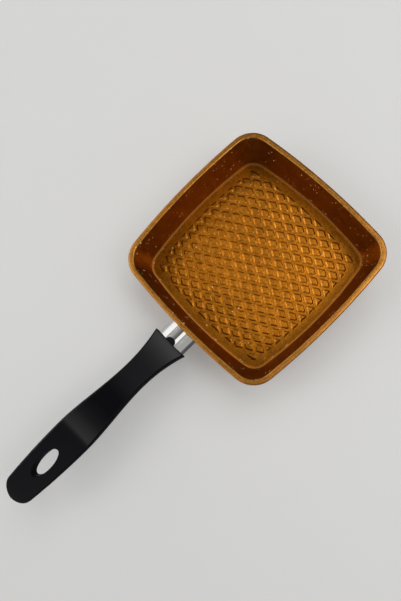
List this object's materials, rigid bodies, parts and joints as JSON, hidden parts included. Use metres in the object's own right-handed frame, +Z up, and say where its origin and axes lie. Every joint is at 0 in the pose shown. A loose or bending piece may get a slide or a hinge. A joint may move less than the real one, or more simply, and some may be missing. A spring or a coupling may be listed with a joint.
{
  "type": "square frying pan",
  "caption": "Square frying pan with bowed sides, rounded corners, raised diamond pads on its floor, a steel ferrule and a black moulded handle with a hanging hole.",
  "frame": {"origin": "centre of the flat base", "axes": "+X along the handle, away from the pan; +Z up; +Y to the left of someone who looks along +X"},
  "size_m": [0.3476, 0.16, 0.0482],
  "materials": {
    "coating": "speckled copper-gold non-stick coating on aluminium",
    "polished_steel": "polished stainless steel",
    "moulded_black": "satin black moulding",
    "bare_aluminium": "bare, satin",
    "zinc_steel": "zinc plated"
  },
  "bodies": {
    "root": {"pan_body": "coating", "ferrule": "polished_steel", "handle": "moulded_black", "handle_bracket": "bare_aluminium", "handle_screw": "zinc_steel", "lock_washer": "zinc_steel", "flat_washer": "zinc_steel"}
  },
  "joints": []
}
